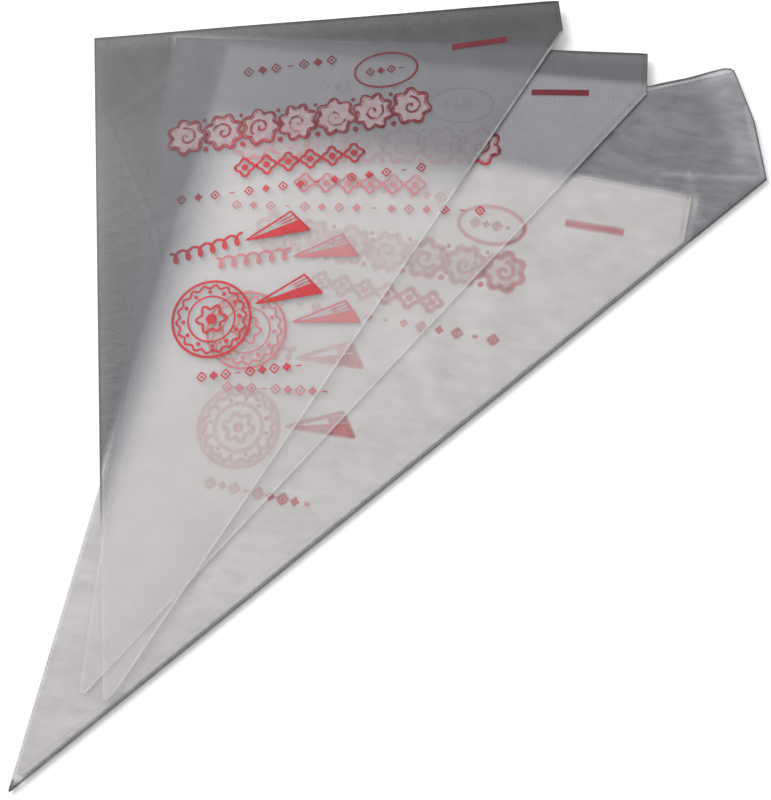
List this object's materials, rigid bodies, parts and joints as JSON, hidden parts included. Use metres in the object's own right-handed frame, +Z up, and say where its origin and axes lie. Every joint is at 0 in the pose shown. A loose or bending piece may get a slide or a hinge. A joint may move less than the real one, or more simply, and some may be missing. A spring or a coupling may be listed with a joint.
{
  "type": "piping bag",
  "caption": "Fan of flat printed film piping bags: two loose bags turned out over a clear film sleeve that holds a pile of the same bags; the top bag opens into a cone.",
  "frame": {"origin": "on the table, under the middle of the whole fan", "axes": "+Y from the bags' tips towards their mouths, +X towards the sleeve's welded edge, +Z up out of the table"},
  "size_m": [0.2604, 0.2924, 0.005],
  "materials": {
    "bag_film": "thin translucent film with a fine embossed texture, satin",
    "packed_film": "many layers of translucent film, milky white, satin",
    "sleeve_film": "clear crinkled film, glossy along its creases",
    "seam_film": "welded or folded film, whiter than the panels",
    "print_ink": "flat red printing ink"
  },
  "bodies": {
    "sleeve": {"sleeve_back_panel": "sleeve_film", "sleeve_front_panel": "sleeve_film", "sleeve_folded_edge": "seam_film", "sleeve_side_weld": "seam_film"},
    "bag_2": {"bag_2_back_panel": "bag_film", "bag_2_front_panel": "bag_film", "bag_2_folded_edge": "seam_film", "bag_2_side_weld": "seam_film"},
    "bag_1": {"bag_1_back_fold_half": "bag_film", "bag_1_folded_edge": "seam_film"},
    "bag_1_back_weld_side": {"bag_1_back_weld_half": "bag_film"},
    "bag_1_front_fold_side": {"bag_1_front_fold_half": "bag_film"},
    "bag_1_front_weld_side": {"bag_1_front_weld_half": "bag_film", "bag_1_side_weld": "seam_film"},
    "bag_3": {"bag_3_back_panel": "packed_film", "bag_3_front_panel": "packed_film", "bag_3_folded_edge": "seam_film", "bag_3_side_weld": "seam_film"},
    "bag_4": {"bag_4_back_panel": "packed_film", "bag_4_front_panel": "packed_film", "bag_4_folded_edge": "seam_film", "bag_4_side_weld": "seam_film"},
    "bag_5": {"bag_5_back_panel": "packed_film", "bag_5_front_panel": "packed_film", "bag_5_folded_edge": "seam_film", "bag_5_side_weld": "seam_film"},
    "bag_6": {"bag_6_back_panel": "packed_film", "bag_6_front_panel": "packed_film", "bag_6_folded_edge": "seam_film", "bag_6_side_weld": "seam_film"}
  },
  "joints": [
    {"name": "bag_2_fan", "type": "hinge", "parent": "sleeve", "child": "bag_2", "pos_m": [-0.10735, -0.11449, 0.00365], "axis": [0, 0, 1], "range_deg": [-8.6, 30]},
    {"name": "bag_1_fan", "type": "hinge", "parent": "bag_2", "child": "bag_1", "pos_m": [-0.09813, -0.11694, 0.00465], "axis": [0, 0, 1], "range_deg": [-9.6, 30]},
    {"name": "bag_1_opening", "type": "hinge", "parent": "bag_1", "child": "bag_1_front_fold_side", "pos_m": [-0.09813, -0.11694, 0.00465], "axis": [0.1011, -0.9949, 0], "range_deg": [0, 80]},
    {"name": "bag_1_front_crease", "type": "hinge", "parent": "bag_1_front_fold_side", "child": "bag_1_front_weld_side", "pos_m": [-0.09813, -0.11694, 0.00465], "axis": [0.2309, 0.973, 0], "range_deg": [0, 80]},
    {"name": "bag_1_back_crease", "type": "hinge", "parent": "bag_1", "child": "bag_1_back_weld_side", "pos_m": [-0.09813, -0.11694, 0.00465], "axis": [-0.2309, -0.973, 0], "range_deg": [0, 80]},
    {"name": "bag_3_pull", "type": "slide", "parent": "sleeve", "child": "bag_3", "axis": [0.5232, 0.8522, 0], "range_m": [0, 0.15]},
    {"name": "bag_4_pull", "type": "slide", "parent": "sleeve", "child": "bag_4", "axis": [0.5232, 0.8522, 0], "range_m": [0, 0.15]},
    {"name": "bag_5_pull", "type": "slide", "parent": "sleeve", "child": "bag_5", "axis": [0.5232, 0.8522, 0], "range_m": [0, 0.15]},
    {"name": "bag_6_pull", "type": "slide", "parent": "sleeve", "child": "bag_6", "axis": [0.5232, 0.8522, 0], "range_m": [0, 0.15]}
  ],
  "couplings": [
    {"joint": "bag_1_front_crease", "follows": "bag_1_opening", "ratio": 0.955},
    {"joint": "bag_1_back_crease", "follows": "bag_1_opening", "ratio": 0.955}
  ]
}
